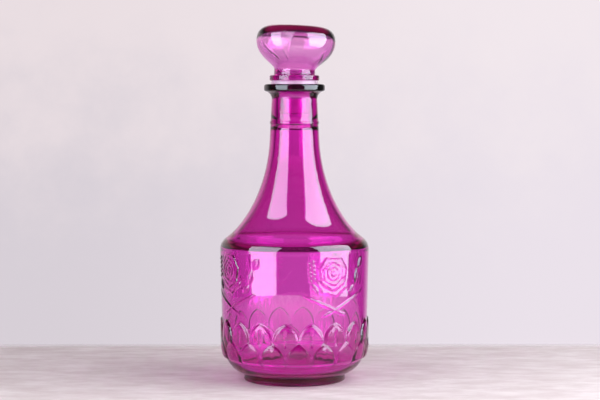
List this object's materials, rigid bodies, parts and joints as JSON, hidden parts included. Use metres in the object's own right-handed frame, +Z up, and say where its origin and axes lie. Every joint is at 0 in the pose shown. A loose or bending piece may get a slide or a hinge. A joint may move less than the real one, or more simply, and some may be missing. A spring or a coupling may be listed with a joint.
{
  "type": "decanter with stopper",
  "caption": "Pressed purple glass decanter with a round body, petal and rose relief, a long flared neck and a hollow mushroom stopper sealed by a finned plastic sleeve.",
  "frame": {"origin": "the middle of the ring that the bottle stands on, at the height of the table", "axes": "+Z up along the bottle's axis, -Y the side seen from the front, +X to the right as seen from the front"},
  "size_m": [0.11, 0.11, 0.2622],
  "materials": {
    "bottle_glass": "clear purple glass, fire-polished, coloured all through",
    "stopper_glass": "clear purple glass, fire-polished, coloured all through",
    "sleeve_plastic": "soft milky polyethylene, slightly see-through"
  },
  "bodies": {
    "bottle": {"bottle": "bottle_glass"},
    "sleeve": {"stopper_sleeve": "sleeve_plastic"},
    "stopper": {"stopper": "stopper_glass"}
  },
  "joints": [
    {"name": "stopper_lift", "type": "slide", "parent": "bottle", "child": "sleeve", "axis": [0, 0, 1], "range_m": [0, 0.06]},
    {"name": "stopper_twist", "type": "hinge", "parent": "sleeve", "child": "stopper", "pos_m": [0, 0, 0.2212], "axis": [0, 0, 1], "continuous": true}
  ]
}
